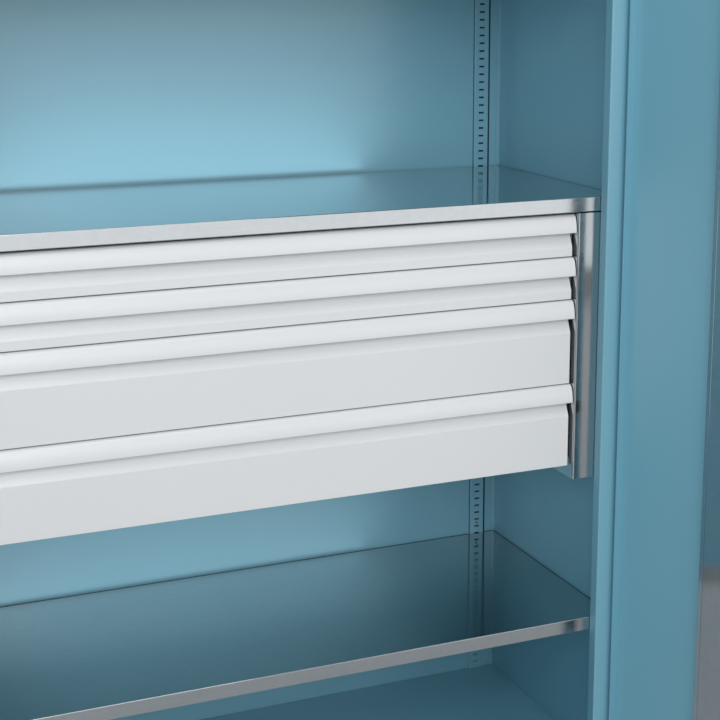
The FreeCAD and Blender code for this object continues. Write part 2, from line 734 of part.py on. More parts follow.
outer_rails = []
for n, zn, pitch in drawer_rows:
    zn = dim("nose_foot_" + n, zn, "lower edge of drawer %s's handle nose" % n)
    h = dim("front_pitch_" + n, pitch, "height of drawer %s with its gap" % n)
    zt = zn + nose_h
    zb = zt - h + 2
    zr = zb + 31
    # front sheet: flat below, bevelled back to the groove behind the nose
    b = new_body("drawer_%s_front" % n)
    outline = [
        (-groove_y, zt - 1),
        (-groove_y, zn),
        (-flat_y + 0.395, zn - bevel_h + 0.9335),
        Arc(5, 1),
        (-flat_y, zn - bevel_h - 1.0136),
        (-flat_y, zb),
        (-groove_y + tf, zb),
        (-groove_y + tf, zt - 1),
    ]
    pad(b, "YZ", [outline], -front_hw, front_hw)
    hollow = [
        (-groove_y + tf, zn - 1.5),
        (-flat_y + tf, zn - bevel_h - 0.5),
        (-flat_y + tf, zb + tf),
        (-groove_y + tf, zb + tf),
    ]
    pocket(b, "YZ", [hollow], -front_hw + tf, front_hw - tf)
    round_edges(b, [("x", [(-flat_y, zb)])], 1.0)
    keep(b)
    # handle nose: a curved shell open below, closed at both ends
    b = new_body("drawer_%s_handle" % n)
    ccy, r1, r2 = -nose_y + 64, 64, 9
    za = zn + 1.5
    # the big arc runs up from the foremost line and meets the small top arc
    ty = ccy.v - 64 * 50.833 / 55
    tz = za.v + 64 * 21 / 55
    c2y = ccy.v - 50.833
    shell_out = [
        (-groove_y, zt),
        (size(c2y) + (-nose_y + 225.7), zt),
        Arc(r2, 1),
        (size(ty) + (-nose_y + 225.7), zn + (tz - zn.v)),
        Arc(r1, 1),
        (-nose_y, za),
    ]
    u = 64 - nose_t.v
    k = u / 64.0
    ity = ccy.v - u * 50.833 / 55
    itz = za.v + u * 21 / 55
    shell_in = [
        (-nose_y, zn + 0.6),
        (-nose_y + 0.6, zn),
        (-nose_y + nose_t, zn),
        (-nose_y + nose_t, za),
        Arc(r1 - nose_t, -1),
        (size(ity) + (-nose_y + 225.7), zn + (itz - zn.v)),
        Arc(r2 - nose_t, -1),
        (size(c2y) + (-nose_y + 225.7), zt - nose_t),
        (-groove_y, zt - nose_t),
    ]
    pad(b, "YZ", [shell_out + shell_in], -nose_hw, nose_hw)
    full = shell_out + [(-nose_y, zn + 0.6), (-nose_y + 0.6, zn), (-groove_y - 0.2, zn), (-groove_y - 0.2, zt - 1)]
    full = [(-groove_y - 0.2, zt)] + full[1:-1]
    for s in (1, -1):
        pad(b, "YZ", [full], (nose_hw - 1.6) * s, nose_hw * s)
    keep(b)
    # tray
    b = new_body("drawer_%s_tray" % n)
    ty0, ty1 = -groove_y + tf, tray_back
    th = h - 22
    pad(b, "XY", [rect(-tray_hw, ty0, tray_hw, ty1)], zb + 4, zb + th)
    pocket(b, "XY", [rect(-tray_hw + tt, ty0 + tt, tray_hw - tt, ty1 - tt)], zb + 4 + tt, zb + th)
    for s in (1, -1):
        pad(b, "XY", [rect((tray_hw - 7) * s, ty0, (tray_hw - tt / 2) * s, ty1)], zb + th - tt, zb + th)
    keep(b)
    # rails: outer on the side frame, intermediate, inner on the tray
    for kind, xw, xe, hh, t in (
        ("outer", block_x, block_x - 9.5, rail_h / 2, 1.2),
        ("middle", block_x - 2.9, block_x - 10.7, rail_h / 2 - 3.8, 1.0),
        ("inner", tray_hw, tray_hw + 7.8, rail_h / 2 - 7.4, 1.0),
    ):
        r = channel("rail_%s_%s" % (kind, n), xw, xe, zr, hh, t, rail_y0, rail_y1)
        if kind == "outer":
            outer_rails += [r, mirror_of(r)]
        elif kind == "middle":
            keep(group("drawer_%s_middle_rails" % n, [r, mirror_of(r)]))
        else:
            keep(group("drawer_%s_inner_rails" % n, [r, mirror_of(r)]))
    # ball cages run in the gaps above and below the intermediate rail
    cages = []
    for j, (za0, za1, xa, xb) in enumerate((
        (rail_h / 2 - 3.5, rail_h / 2 - 1.5, block_x - 8.9, block_x - 3.4),
        (rail_h / 2 - 7.1, rail_h / 2 - 5.1, block_x - 10.2, block_x - 4.9),
    )):
        for k, sg in enumerate((1, -1)):
            c = box("cage_%s_%d_%d" % (n, j, k), xa, xb, rail_y0 + 12, rail_y0 + rail_len - 12, zr + za0 * sg, zr + za1 * sg)
            cages += [c, mirror_of(c)]
    keep(group("drawer_%s_ball_cages" % n, cages))
keep(group("drawer_outer_rails", outer_rails))

# ---------------------------------------------------------------- doors

# All door pieces are drawn closed and then turned open about the hinge axis.
dx1 = hinge_x + 6
dx0 = dx1 - door_w
dy1 = front - door_gap
dy0 = dy1 - door_t
pan_y = dy0 + tb


def door_panel(label, s):
    b = new_body(label)

    def ring(inset):
        return rect((dx0 + inset) * s, door_lo + inset, (dx1 - inset) * s, door_hi - inset)

    pad(b, "XZ", [ring(size(0))], dy0, dy1)
    def folded(outer, inner):
        """A band along the free side, foot and head, ending at the hinge flange."""
        xe = dx1 - tb
        return [
            ((dx0 + outer) * s, door_lo + outer),
            (xe * s, door_lo + outer),
            (xe * s, door_lo + inner),
            ((dx0 + inner) * s, door_lo + inner),
            ((dx0 + inner) * s, door_hi - inner),
            (xe * s, door_hi - inner),
            (xe * s, door_hi - outer),
            ((dx0 + outer) * s, door_hi - outer),
        ]

    # The hinge side is a single flange, the other three sides have a box rim:
    # recess inside the rim, then the hollow of the rim, then the slot at its foot.
    pocket(b, "XZ", [rect((dx0 + rim) * s, door_lo + rim, (dx1 - tb) * s, door_hi - rim)], pan_y, dy1)
    pocket(b, "XZ", [folded(tb, rim - tb)], pan_y, dy1 - tb)
    pocket(b, "XZ", [folded(rim - tb - 0.1, rim + 0.1)], pan_y, pan_y + 1.5)
    # the inner flanks stop short of the hinge corners, where the bushes stand
    for z0, z1 in ((door_lo + tb, door_lo + rim + 0.1), (door_hi - rim - 0.1, door_hi - tb)):
        pocket(b, "XZ", [rect((hinge_x - 8) * s, z0, (dx1 - tb) * s, z1)], pan_y, dy1 - tb)
    holes = [circle(hinge_x * s, -hinge_y, pin_r + 0.5)]
    pocket(b, "XY", holes, door_lo - 1, door_lo + tb + 1)
    pocket(b, "XY", holes, door_hi - tb - 1, door_hi + 1)
    if s == 1:
        # the rods pass the rim, the spindle and the cylinder pass the sheet
        for x, z0, z1 in (
            (upper_rod_x, door_hi - rim - 1, door_hi + 1),
            (lower_rod_x, door_lo - 1, door_lo + rim + 1),
        ):
            pocket(b, "XY", [rect(x - 4.6, rod_y - 3.6, x + 4.6, rod_y + 3.6)], z0, z1)
        pocket(b, "XZ", [circle(handle_x, handle_z, 7), circle(handle_x, cyl_z, 9.26)], dy0 - 1, pan_y + 1)
    round_edges(b, [("z", [(dx1 * s, dy0)])], 3)
    round_edges(b, [("x", [(dy0, door_lo), (dy0, door_hi)]), ("z", [(dx0 * s, dy0)])], 2.0)
    return open_door(keep(b), s)


door_panel("door_panel_right", 1)
door_panel("door_panel_left", -1)


def stiffener(label, s):
    """A galvanised hat section on the inner face of a door."""
    b = new_body(label)
    x0, x1 = hinge_x - 317, hinge_x - 172
    t = 1.2
    y0, y1 = pan_y, dy1 - 0.8
    pad(
        b,
        "XY",
        [[
            ((x0 - 15) * s, y0),
            ((x0 + t) * s, y0),
            ((x0 + t) * s, y1 - t),
            ((x1 - t) * s, y1 - t),
            ((x1 - t) * s, y0),
            ((x1 + 15) * s, y0),
            ((x1 + 15) * s, y0 + t),
            (x1 * s, y0 + t),
            (x1 * s, y1),
            (x0 * s, y1),
            (x0 * s, y0 + t),
            ((x0 - 15) * s, y0 + t),
        ]],
        door_lo + 32,
        door_hi - 32,
    )
    round_edges(b, [("z", [(x0 * s, y1), (x1 * s, y1)])], 2.0)
    return open_door(keep(b), s)


stiffener("door_stiffener_right", 1)
stiffener("door_stiffener_left", -1)


def bushes(label, s):
    """Bearing blocks inside the rim that turn on the hinge pins."""
    parts = []
    for k, (z0, z1) in enumerate(((door_lo + tb, door_lo + tb + 16), (door_hi - tb - 16, door_hi - tb))):
        blk = box("%s_block_%d" % (label, k), (hinge_x - 5.3) * s, (hinge_x + 4.4) * s, -hinge_y - 7, -hinge_y + 4.4, z0, z1)
        bore = rod("%s_bore_%d" % (label, k), "z", hinge_x * s, -hinge_y, z0 - 1, bush_r, z1 - z0 + 2)
        parts.append(cut("%s_%d" % (label, k), blk, bore))
    return open_door(keep(group(label, parts)), s)


bushes("hinge_bushes_right", 1)
bushes("hinge_bushes_left", -1)

# hinge pins: the lower ones carry the doors on a collar
pins = []
for s in (1, -1):
    tag = "r" if s == 1 else "l"
    pins.append(fuse("pin_low_" + tag, [
        rod("pin_low_shaft_" + tag, "z", hinge_x * s, -hinge_y, plinth_h - tb - 2, pin_r, 21),
        rod("pin_low_head_" + tag, "z", hinge_x * s, -hinge_y, plinth_h - tb - 3, 5, 3),
        rod("pin_low_collar_" + tag, "z", hinge_x * s, -hinge_y, plinth_h, 5, door_lo - plinth_h - 0.1),
    ]))
    pins.append(fuse("pin_top_" + tag, [
        rod("pin_top_shaft_" + tag, "z", hinge_x * s, -hinge_y, door_hi - 17, pin_r, top_z - door_hi + 20),
        rod("pin_top_head_" + tag, "z", hinge_x * s, -hinge_y, top_z + tb, 5, 3),
    ]))
keep(group("hinge_pins", pins))

# strip on the left door that covers the gap between the doors from behind
b = new_body("overlap_strip")
pad(
    b,
    "XY",
    [[
        (-dx0 - rim + 1, dy1),
        (-dx0 - 1, dy1),
        (-dx0 + 0.5, dy1 + 0.4),
        (dx0 + rim - 1, dy1 + 0.4),
        (dx0 + rim - 1, dy1 + 1.6),
        (-dx0 - rim + 1, dy1 + 1.6),
    ]],
    door_lo + 3,
    door_hi - 3,
)
open_door(keep(b), -1)

# rubber buffers behind the upper and lower edges of the doors
buffers = []
for k, x in enumerate((-430, -120, 120, 430)):
    for j, z in enumerate((door_hi - 7, door_lo + 7)):
        buffers.append(rod("buffer_%d_%d" % (k, j), "y", x, front - 1.7, z, 4, 1.7))
keep(group("door_buffers", buffers))

# ---------------------------------------------------------------- lock

inner = pan_y  # inner face of the door's sheet
gear_y0, gear_y1 = rod_y - 3, rod_y + 3


def gear_outline(cx, cz, teeth, r_tip, r_root, w_tip, w_root, phase):
    pts = []
    for k in range(teeth):
        a = 2 * math.pi * k / teeth + phase
        c, d = math.cos(a), math.sin(a)
        for r, w in ((r_root, -w_root), (r_tip, -w_tip), (r_tip, w_tip), (r_root, w_root)):
            pts.append((cx + (r * c - w * d), cz + (r * d + w * c)))
    return pts


# escutcheon on the outside
b = new_body("lock_escutcheon")
pad(b, "XZ", [rect(handle_x - 20, handle_z - 35, handle_x + 20, cyl_z + 30)], dy0 - 4, dy0)
round_edges(b, [("y", [(handle_x - 20, handle_z - 35), (handle_x + 20, handle_z - 35), (handle_x - 20, cyl_z + 30), (handle_x + 20, cyl_z + 30)])], 12)
pocket(b, "XZ", [circle(handle_x, handle_z, 6.56), circle(handle_x, cyl_z, 9.26)], dy0 - 5, dy0 + 1)
open_door(keep(b), 1)

# lever: hub and arm in one casting, lying across the door when unlocked
b = new_body("handle_lever")
pad(b, "XZ", [circle(handle_x, handle_z, 13)], dy0 - 30, dy0 - 4.4)
pad(
    b,
    "XZ",
    [[
        (handle_x, handle_z - 10),
        (handle_x + 100, handle_z - 7),
        Arc(7.5, 1),
        (handle_x + 100, handle_z + 7),
        (handle_x, handle_z + 10),
    ]],
    dy0 - 30,
    dy0 - 18,
)
pocket(b, "XZ", [rect(handle_x - 4.05, handle_z - 4.05, handle_x + 4.05, handle_z + 4.05)], dy0 - 22, dy0 - 4)
open_door(keep(b), 1)

# square spindle with the pinion
b = new_body("lock_spindle")
pad(b, "XZ", [rect(handle_x - 4, handle_z - 4, handle_x + 4, handle_z + 4)], dy0 - 22, gear_y1 + 6)
pad(b, "XZ", [circle(handle_x, handle_z, 6.5)], dy0 - 4.4, gear_y0)
pad(b, "XZ", [gear_outline(handle_x, handle_z, 12, 13.6, 10.0, 0.55, 1.45, math.pi / 12)], gear_y0, gear_y1)
pad(b, "XZ", [circle(handle_x, handle_z, 10.2)], gear_y0, gear_y1)
pad(b, "XZ", [circle(handle_x, handle_z, 6)], gear_y1, gear_y1 + 6)
open_door(keep(b), 1)


def rack(side, z0, z1):
    """Toothed edge of a rod end. The teeth face the pinion; side is the rod's
    side of it."""
    pts = []
    pitch = 2 * math.pi * 12 / 12
    back_x = handle_x + (gear_r + 9.5) * side
    root = gear_r + 2.3
    tip = gear_r - 1.3
    pts.append((back_x, z0))
    pts.append((handle_x + root * side, z0))
    z = handle_z.v
    # gaps of the rack sit where the pinion's teeth are
    k = -8
    while k <= 8:
        zc = z + k * pitch
        if z0.v + 2 < zc - 1.6 and zc + 1.6 < z1.v - 2:
            pts.append((handle_x + root * side, handle_z + (zc - 1.45 - z)))
            pts.append((handle_x + tip * side, handle_z + (zc - 0.55 - z)))
            pts.append((handle_x + tip * side, handle_z + (zc + 0.55 - z)))
            pts.append((handle_x + root * side, handle_z + (zc + 1.45 - z)))
        k += 1
    pts.append((handle_x + root * side, z1))
    pts.append((back_x, z1))
    return pts


def lock_rod(label, side, x, z_near, z_far):
    b = new_body(label)
    lo, hi = order(z_near, z_far)
    up = z_far.v > z_near.v
    # toothed end beside the pinion, then the bar to the door's edge
    if up:
        pad(b, "XZ", [rack(side, z_near, z_near + 56)], gear_y0, gear_y1)
        pad(b, "XZ", [rect(x - 4, z_near + 30, x + 4, z_far - 6)], gear_y0, gear_y1)
        pad(b, "XZ", [[(x - 4, z_far - 6), (x + 4, z_far - 6), (x + 1.5, z_far), (x - 1.5, z_far)]], gear_y0, gear_y1)
    else:
        pad(b, "XZ", [rack(side, z_near - 56, z_near)], gear_y0, gear_y1)
        pad(b, "XZ", [rect(x - 4, z_far + 6, x + 4, z_near - 30)], gear_y0, gear_y1)
        pad(b, "XZ", [[(x - 4, z_far + 6), (x + 4, z_far + 6), (x + 1.5, z_far), (x - 1.5, z_far)]], gear_y0, gear_y1)
    return open_door(keep(b), 1)


lock_rod("lock_rod_upper", -1, upper_rod_x, handle_z - 24, door_hi - 2)
lock_rod("lock_rod_lower", 1, lower_rod_x, handle_z + 24, door_lo + 2)

# lock case: a shell over the pinion and the cylinder, open to the door
b = new_body("lock_case")
cx0, cx1 = handle_x - 26, handle_x + 26
cz0, cz1 = handle_z - 60, cyl_z + 22
case_y = dy1 + 8
pad(b, "XZ", [rect(cx0, cz0, cx1, cz1)], inner, case_y)
pocket(b, "XZ", [rect(cx0 + 1.5, cz0 + 1.5, cx1 - 1.5, cz1 - 1.5)], inner, case_y - 1.5)
round_edges(b, [("x", [(case_y, cz0), (case_y, cz1)]), ("z", [(cx0, case_y), (cx1, case_y)])], 1.4)
pocket(b, "XY", [rect(upper_rod_x - 4.4, rod_y - 3.4, upper_rod_x + 4.4, rod_y + 3.4)], cz1 - 3, cz1 + 1)
pocket(b, "XY", [rect(lower_rod_x - 4.4, rod_y - 3.4, lower_rod_x + 4.4, rod_y + 3.4)], cz0 - 1, cz0 + 3)
for x0, x1, z0, z1 in ((handle_x - 9, handle_x + 25, cz1 - 1, cz1 + 12), (handle_x - 25, handle_x + 9, cz0 - 12, cz0 + 1)):
    pad(b, "XZ", [rect(x0, z0, x1, z1)], inner, inner + 1.5)
open_door(keep(b), 1)

screws = []
for k, (x, z) in enumerate(((handle_x - 3, cz1 + 6), (handle_x + 19, cz1 + 6), (handle_x - 19, cz0 - 6), (handle_x + 3, cz0 - 6))):
    screws.append(rod("lock_screw_%d" % k, "y", x, inner + 1.5, z, 4, 2.4))
open_door(keep(group("lock_screws", screws)), 1)

# guides that hold the rods to the door
guides = []
for k, (x, z) in enumerate(((upper_rod_x, 1330), (upper_rod_x, 1840), (lower_rod_x, 620), (lower_rod_x, 130))):
    body_box = box("guide_block_%d" % k, x - 11, x + 11, inner, rod_y + 6.5, z, z + 22)
    hole = box("guide_hole_%d" % k, x - 4.3, x + 4.3, rod_y - 3.3, rod_y + 3.3, z - 1, z + 23)
    guides.append(cut("guide_%d" % k, body_box, hole))
open_door(keep(group("rod_guides", guides)), 1)

# lock cylinder and key
b = new_body("lock_cylinder")
pad(b, "XZ", [circle(handle_x, cyl_z, 9.2)], dy0 - 5.5, inner + 8)
pocket(b, "XZ", [rect(handle_x - 0.7, cyl_z - 4.2, handle_x + 0.7, cyl_z + 4.2)], dy0 - 6, inner + 7)
pad(b, "XZ", [rect(handle_x - 4, cyl_z - 5, handle_x + 4, cyl_z + 12.5)], inner + 8, inner + 11)
open_door(keep(b), 1)

b = new_body("lock_key")
pad(b, "YZ", [rect(dy0 - 12, cyl_z - 3.8, inner + 5, cyl_z + 3.8)], handle_x - 0.6, handle_x + 0.6)
pad(b, "YZ", [circle(dy0 - 22, cyl_z, 12)], handle_x - 0.9, handle_x + 0.9)
pocket(b, "YZ", [circle(dy0 - 27, cyl_z, 3)], handle_x - 1, handle_x + 1)
open_door(keep(b), 1)

# ---------------------------------------------------------------- feet

feet = []
for k, (s, y) in enumerate([(s, y) for s in (1, -1) for y in foot_ys]):
    feet.append(fuse("foot_%d" % k, [
        rod("foot_pad_%d" % k, "z", foot_x * s, y, 0, 18, 5),
        rod("foot_neck_%d" % k, "z", foot_x * s, y, 5, 9, 4),
        rod("foot_stud_%d" % k, "z", foot_x * s, y, 4, 5, plinth_h + 16),
        rod("foot_nut_%d" % k, "z", foot_x * s, y, plinth_h, 9, 8),
    ]))
keep(group("levelling_feet", feet))

# ---------------------------------------------------------------- output

doc.recompute()
for obj in doc.Objects:
    if "Invalid" in obj.State or "Error" in obj.State:
        raise SystemExit("%s is %s" % (obj.Label, obj.State))
for obj in made:
    if obj.Shape.isNull() or not obj.Shape.isValid() or not obj.Shape.Solids:
        raise SystemExit("bad shape: " + obj.Label)
labels = [obj.Label for obj in made]
if len(set(labels)) != len(labels):
    raise SystemExit("a label is used twice")

os.makedirs("parts", exist_ok=True)
for name in os.listdir("parts"):
    if name.endswith(".step") and name[:-5] not in labels:
        os.remove(os.path.join("parts", name))
for obj in made:
    obj.Shape.exportStep("parts/%s.step" % obj.Label)
print(len(made), "sub-parts")
for obj in made:
    bb = obj.Shape.BoundBox
    print("%-26s %3d solids  %10.0f mm3  x %.1f %.1f  y %.1f %.1f  z %.1f %.1f" % (
        obj.Label, len(obj.Shape.Solids), obj.Shape.Volume, bb.XMin, bb.XMax, bb.YMin, bb.YMax, bb.ZMin, bb.ZMax))
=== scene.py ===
"""Looks of the heavy-duty cabinet with drawers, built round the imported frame.

All lengths are metres in the row frame: +Z up, the open front faces -Y.
"""

import json
import math

import bmesh
import bpy
from mathutils import Matrix, Vector

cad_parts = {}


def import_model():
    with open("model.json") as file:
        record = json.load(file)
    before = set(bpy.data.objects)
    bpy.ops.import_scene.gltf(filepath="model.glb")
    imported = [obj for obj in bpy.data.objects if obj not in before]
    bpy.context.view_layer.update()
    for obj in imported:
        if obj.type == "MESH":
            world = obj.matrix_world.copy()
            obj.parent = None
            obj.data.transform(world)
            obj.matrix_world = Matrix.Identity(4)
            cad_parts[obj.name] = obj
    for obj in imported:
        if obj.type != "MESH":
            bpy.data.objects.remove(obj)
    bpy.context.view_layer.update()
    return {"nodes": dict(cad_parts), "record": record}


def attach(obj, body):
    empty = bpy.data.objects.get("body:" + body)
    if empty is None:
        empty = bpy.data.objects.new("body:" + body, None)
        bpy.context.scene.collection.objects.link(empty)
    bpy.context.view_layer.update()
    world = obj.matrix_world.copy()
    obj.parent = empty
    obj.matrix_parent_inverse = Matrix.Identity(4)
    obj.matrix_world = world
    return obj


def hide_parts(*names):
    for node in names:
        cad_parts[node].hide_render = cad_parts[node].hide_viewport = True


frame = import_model()
nodes = frame["nodes"]
scene = bpy.context.scene
MM = 0.001

# ------------------------------------------------------------------ camera

# The photograph is a level view whose frame sits far below the horizon. Most
# of that is taken up by tilting the camera, so that other views keep only a
# small shift.
EYE = Vector((-0.8144, -2.497, 1.538))
YAW, PITCH = math.radians(23.384), math.radians(11.466)


def make_camera():
    data = bpy.data.cameras.new("camera")
    data.sensor_fit = "HORIZONTAL"
    data.sensor_width = 36.0
    data.lens = 77.507
    data.shift_x = -0.0454
    data.shift_y = -0.10
    data.clip_start = 0.05
    data.clip_end = 200.0
    cam = bpy.data.objects.new("camera", data)
    scene.collection.objects.link(cam)
    d = Vector((math.sin(YAW) * math.cos(PITCH), math.cos(YAW) * math.cos(PITCH), -math.sin(PITCH)))
    cam.matrix_world = Matrix.Translation(EYE) @ d.to_track_quat("-Z", "Y").to_matrix().to_4x4()
    scene.camera = cam


make_camera()

# --------------------------------------------------------------- materials


class Shader:
    """A material with one Principled shader, and short calls for its nodes."""

    def __init__(self, name, **sockets):
        self.material = bpy.data.materials.new(name)
        self.material.use_nodes = True
        self.tree = self.material.node_tree
        self.out = next(n for n in self.tree.nodes if n.type == "OUTPUT_MATERIAL")
        self.bsdf = next(n for n in self.tree.nodes if n.type == "BSDF_PRINCIPLED")
        for key, value in sockets.items():
            self.bsdf.inputs[key.replace("_", " ")].default_value = value
        self.place = self.node("ShaderNodeTexCoord").outputs["Object"]

    def node(self, kind, **settings):
        n = self.tree.nodes.new(kind)
        for key, value in settings.items():
            setattr(n, key, value)
        return n

    def link(self, a, b):
        self.tree.links.new(a, b)

    def stretched(self, x, y, z, turn=(0, 0, 0)):
        m = self.node("ShaderNodeMapping")
        m.inputs["Scale"].default_value = (x, y, z)
        m.inputs["Rotation"].default_value = turn
        self.link(self.place, m.inputs["Vector"])
        return m.outputs["Vector"]

    def noise(self, vector, scale, detail=2.0, rough=0.5):
        n = self.node("ShaderNodeTexNoise")
        n.inputs["Scale"].default_value = scale
        n.inputs["Detail"].default_value = detail
        n.inputs["Roughness"].default_value = rough
        self.link(vector, n.inputs["Vector"])
        return n.outputs["Fac"]

    def cells(self, vector, scale, feature="F1", output="Distance", jitter=1.0):
        n = self.node("ShaderNodeTexVoronoi", feature=feature)
        n.inputs["Scale"].default_value = scale
        n.inputs["Randomness"].default_value = jitter
        self.link(vector, n.inputs["Vector"])
        return n.outputs[output]

    def to_range(self, value, lo, hi, a=0.0, b=1.0):
        n = self.node("ShaderNodeMapRange")
        n.inputs["From Min"].default_value = a
        n.inputs["From Max"].default_value = b
        n.inputs["To Min"].default_value = lo
        n.inputs["To Max"].default_value = hi
        self.link(value, n.inputs["Value"])
        return n.outputs["Result"]

    def math(self, op, a, b):
        n = self.node("ShaderNodeMath", operation=op)
        for i, v in enumerate((a, b)):
            if isinstance(v, (int, float)):
                n.inputs[i].default_value = v
            else:
                self.link(v, n.inputs[i])
        return n.outputs[0]

    def mix(self, factor, a, b):
        n = self.node("ShaderNodeMix", data_type="RGBA")
        if isinstance(factor, (int, float)):
            n.inputs[0].default_value = factor
        else:
            self.link(factor, n.inputs[0])
        for i, v in ((6, a), (7, b)):
            if isinstance(v, (tuple, list)):
                n.inputs[i].default_value = (*v[:3], 1.0)
            else:
                self.link(v, n.inputs[i])
        return n.outputs[2]

    def bump(self, height, distance, strength=1.0, under=None):
        n = self.node("ShaderNodeBump")
        n.inputs["Strength"].default_value = strength
        n.inputs["Distance"].default_value = distance
        self.link(height, n.inputs["Height"])
        if under is not None:
            self.link(under, n.inputs["Normal"])
        return n.outputs["Normal"]

    def to(self, socket, value):
        self.link(value, self.bsdf.inputs[socket])


def shade(color, f):
    return tuple(c * f for c in color[:3])


def powder_coat(name, color, rough, spec, coat, coat_rough, peel=0.35, cloud=0.03):
    """Smooth powder coat: faint orange peel, slow drift in shade and gloss."""
    s = Shader(name, Specular_IOR_Level=spec, Coat_Weight=coat, Coat_Roughness=coat_rough, Coat_IOR=1.75)
    drift = s.noise(s.place, 3.1, 3.0, 0.55)
    fine = s.noise(s.place, 46.0, 2.0)
    col = s.mix(drift, shade(color, 1 - cloud), shade(color, 1 + cloud))
    speck = s.to_range(fine, 0.0, 1.0, 0.35, 0.65)
    s.to("Base Color", s.mix(s.math("MULTIPLY", speck, 0.03), col, shade(color, 1.12)))
    haze = s.to_range(s.noise(s.place, 7.3, 4.0, 0.6), rough - 0.03, rough + 0.03, 0.3, 0.7)
    s.to("Roughness", haze)
    peel_small = s.noise(s.place, 620.0, 2.0, 0.45)
    peel_wide = s.noise(s.place, 150.0, 1.0, 0.4)
    n1 = s.bump(peel_wide, 0.00006 * peel, 1.0)
    n2 = s.bump(peel_small, 0.00002 * peel, 1.0, n1)
    s.to("Normal", n2)
    s.to("Coat Normal", n2)
    return s.material


def sheet_metal(name, color, rough, grain=(1.0, 1.0, 1.0), spangle=0.04, lines=0.05, dull=0.04, relief=0.0000006):
    """Zinc-coated sheet: soft spangle, rolling lines along one way, and slow
    differences in gloss."""
    s = Shader(name, Metallic=1.0, Specular_IOR_Level=0.5)
    flake = s.node("ShaderNodeTexVoronoi", feature="F1")
    flake.inputs["Scale"].default_value = 105.0
    warp = s.node("ShaderNodeVectorMath", operation="ADD")
    wob = s.node("ShaderNodeTexNoise")
    wob.inputs["Scale"].default_value = 60.0
    s.link(s.place, wob.inputs["Vector"])
    small = s.node("ShaderNodeVectorMath", operation="SCALE")
    small.inputs["Scale"].default_value = 0.01
    s.link(wob.outputs["Color"], small.inputs[0])
    s.link(s.place, warp.inputs[0])
    s.link(small.outputs[0], warp.inputs[1])
    s.link(warp.outputs[0], flake.inputs["Vector"])
    split = s.node("ShaderNodeSeparateColor")
    s.link(flake.outputs["Color"], split.inputs["Color"])
    tone = split.outputs[0]
    rolled = s.noise(s.stretched(*grain), 900.0, 3.0, 0.6)
    drift = s.noise(s.place, 2.7, 3.0, 0.55)
    a = s.to_range(tone, 1 - spangle, 1 + spangle)
    b = s.to_range(rolled, 1 - lines, 1 + lines, 0.3, 0.7)
    c = s.to_range(drift, 1 - 0.03, 1 + 0.03, 0.3, 0.7)
    f = s.math("MULTIPLY", s.math("MULTIPLY", a, b), c)
    scale = s.node("ShaderNodeVectorMath", operation="SCALE")
    scale.inputs[0].default_value = color[:3]
    s.link(f, scale.inputs["Scale"])
    s.to("Base Color", scale.outputs[0])
    r = s.math("ADD", s.to_range(drift, rough - dull / 2, rough + dull / 2, 0.3, 0.7),
               s.math("ADD", s.to_range(tone, -0.01, 0.01), s.to_range(rolled, -0.01, 0.01, 0.3, 0.7)))
    s.to("Roughness", r)
    s.to("Normal", s.bump(rolled, relief, 1.0, s.bump(s.noise(s.place, 14.0, 2.0), 0.00004, 1.0)))
    return s.material


def turned_metal(name, color, rough, scale=500.0, depth=0.000004):
    """Plated turned or pressed steel: fine tool marks and small dull spots."""
    s = Shader(name, Metallic=1.0)
    marks = s.noise(s.place, scale, 3.0, 0.6)
    drift = s.noise(s.place, 25.0, 3.0, 0.5)
    s.to("Base Color", s.mix(drift, shade(color, 0.93), shade(color, 1.05)))
    s.to("Roughness", s.math("ADD", s.to_range(marks, -0.05, 0.05, 0.3, 0.7), s.to_range(drift, rough - 0.03, rough + 0.05, 0.3, 0.7)))
    s.to("Normal", s.bump(marks, depth, 1.0))
    return s.material


def coated_casting(name, color, rough):
    """Satin black coat over a casting: fine pebble, light rubbed places."""
    s = Shader(name, Specular_IOR_Level=0.5)
    pebble = s.cells(s.place, 1400.0)
    drift = s.noise(s.place, 40.0, 3.0)
    s.to("Base Color", s.mix(drift, shade(color, 0.8), shade(color, 1.4)))
    s.to("Roughness", s.to_range(drift, rough - 0.05, rough + 0.08, 0.3, 0.7))
    s.to("Normal", s.bump(pebble, 0.00003, 0.6))
    return s.material


def moulded(name, color, rough, scale=900.0, depth=0.00003):
    """Moulded rubber or nylon: fine grain and a slow change of sheen."""
    s = Shader(name, Specular_IOR_Level=0.4)
    grain = s.noise(s.place, scale, 2.0)
    drift = s.noise(s.place, 30.0, 3.0)
    s.to("Base Color", s.mix(drift, shade(color, 0.8), shade(color, 1.3)))
    s.to("Roughness", s.to_range(drift, rough - 0.06, rough + 0.06, 0.3, 0.7))
    s.to("Normal", s.bump(grain, depth, 0.5))
    return s.material


BLUE = (0.180, 0.438, 0.558)
GREY = (0.788, 0.797, 0.806)
ZINC = (0.535, 0.568, 0.585)

blue = powder_coat("blue_powder_coat", BLUE, 0.42, 0.7, 0.6, 0.27)
grey = powder_coat("grey_powder_coat", GREY, 0.36, 0.60, 0.3, 0.25, peel=0.3, cloud=0.012)
galvanised = sheet_metal("galvanised_sheet", ZINC, 0.065, grain=(0.006, 1.0, 1.0), spangle=0.02, lines=0.03, dull=0.015, relief=0.000022)
galvanised_up = sheet_metal("galvanised_sheet_upright", ZINC, 0.065, grain=(1.0, 1.0, 0.012), spangle=0.02, lines=0.035, dull=0.015)
rail_steel = sheet_metal("zinc_plated_rail", (0.52, 0.54, 0.56), 0.24, grain=(1.0, 0.012, 1.0), spangle=0.0, lines=0.08)
bright_steel = turned_metal("zinc_plated_steel", (0.55, 0.56, 0.57), 0.28)
nickel = turned_metal("nickel_plate", (0.72, 0.70, 0.66), 0.16, 900.0, 0.000002)
casting = coated_casting("black_coated_casting", (0.022, 0.023, 0.025), 0.42)
